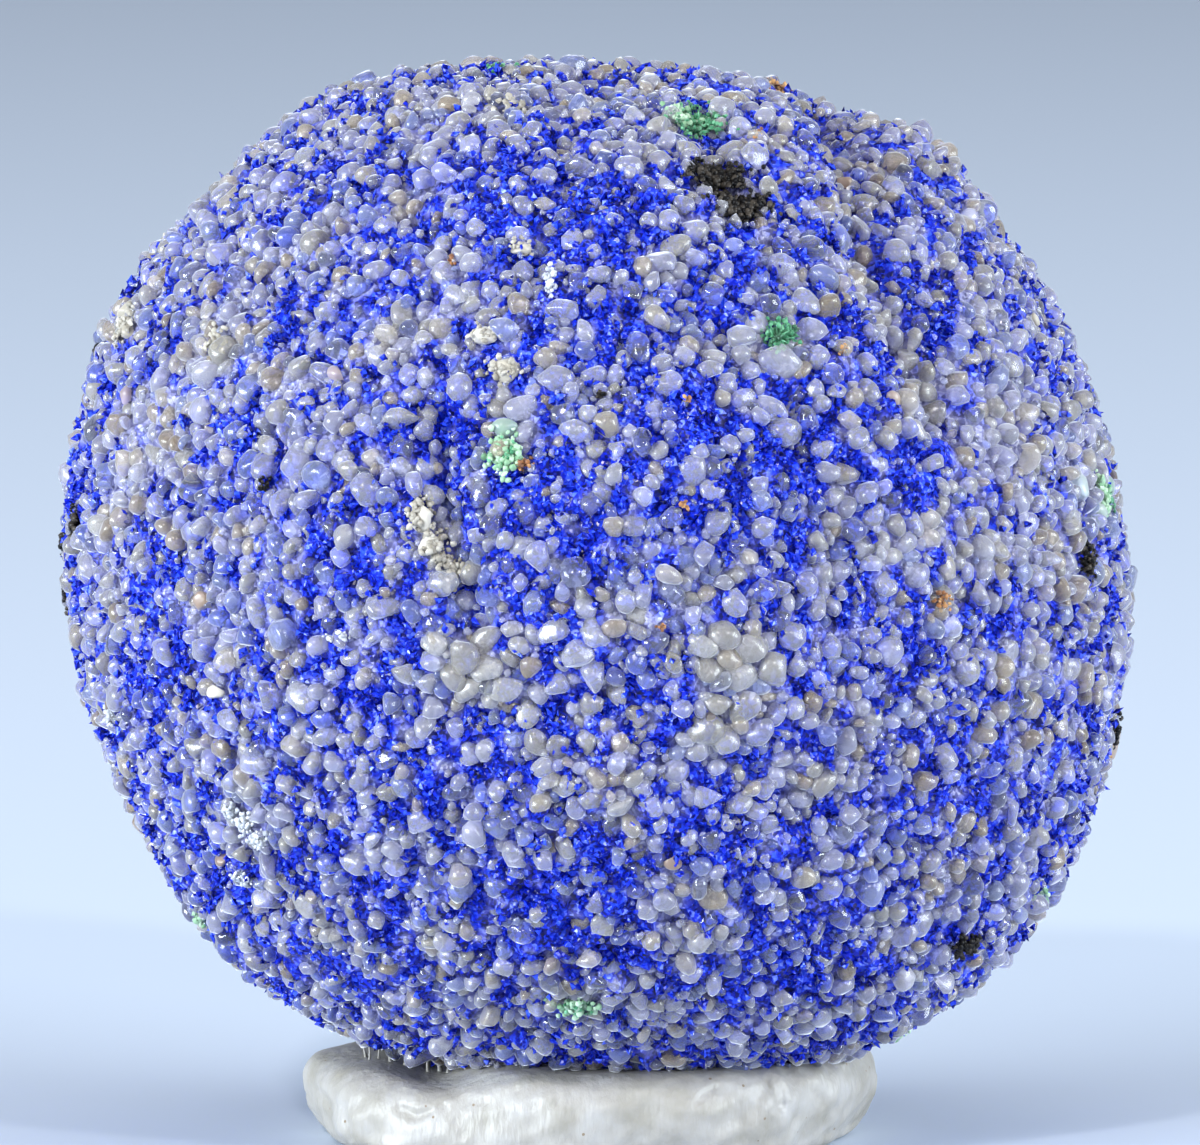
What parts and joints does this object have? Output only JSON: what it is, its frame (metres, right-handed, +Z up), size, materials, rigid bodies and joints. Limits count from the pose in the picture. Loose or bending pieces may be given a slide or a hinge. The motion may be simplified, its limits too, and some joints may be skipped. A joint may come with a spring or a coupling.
{
  "type": "azurite concretion",
  "caption": "Rough, nearly round ball of azurite-cemented quartz sand, held upright on a pad of white mounting putty.",
  "frame": {"origin": "on the flat underside of the putty pad, straight below the centre of the ball", "axes": "+Z up from the resting face, +X to the right and -Y towards the viewer of the picture"},
  "size_m": [0.0149, 0.0144, 0.015],
  "materials": {
    "azurite_sand": "granular: deep blue microcrystalline azurite between translucent, frosted quartz grains",
    "putty": "white adhesive putty, softly glossy, kneaded and pitted"
  },
  "bodies": {
    "root": {"concretion": "azurite_sand", "mounting_putty": "putty"}
  },
  "joints": []
}
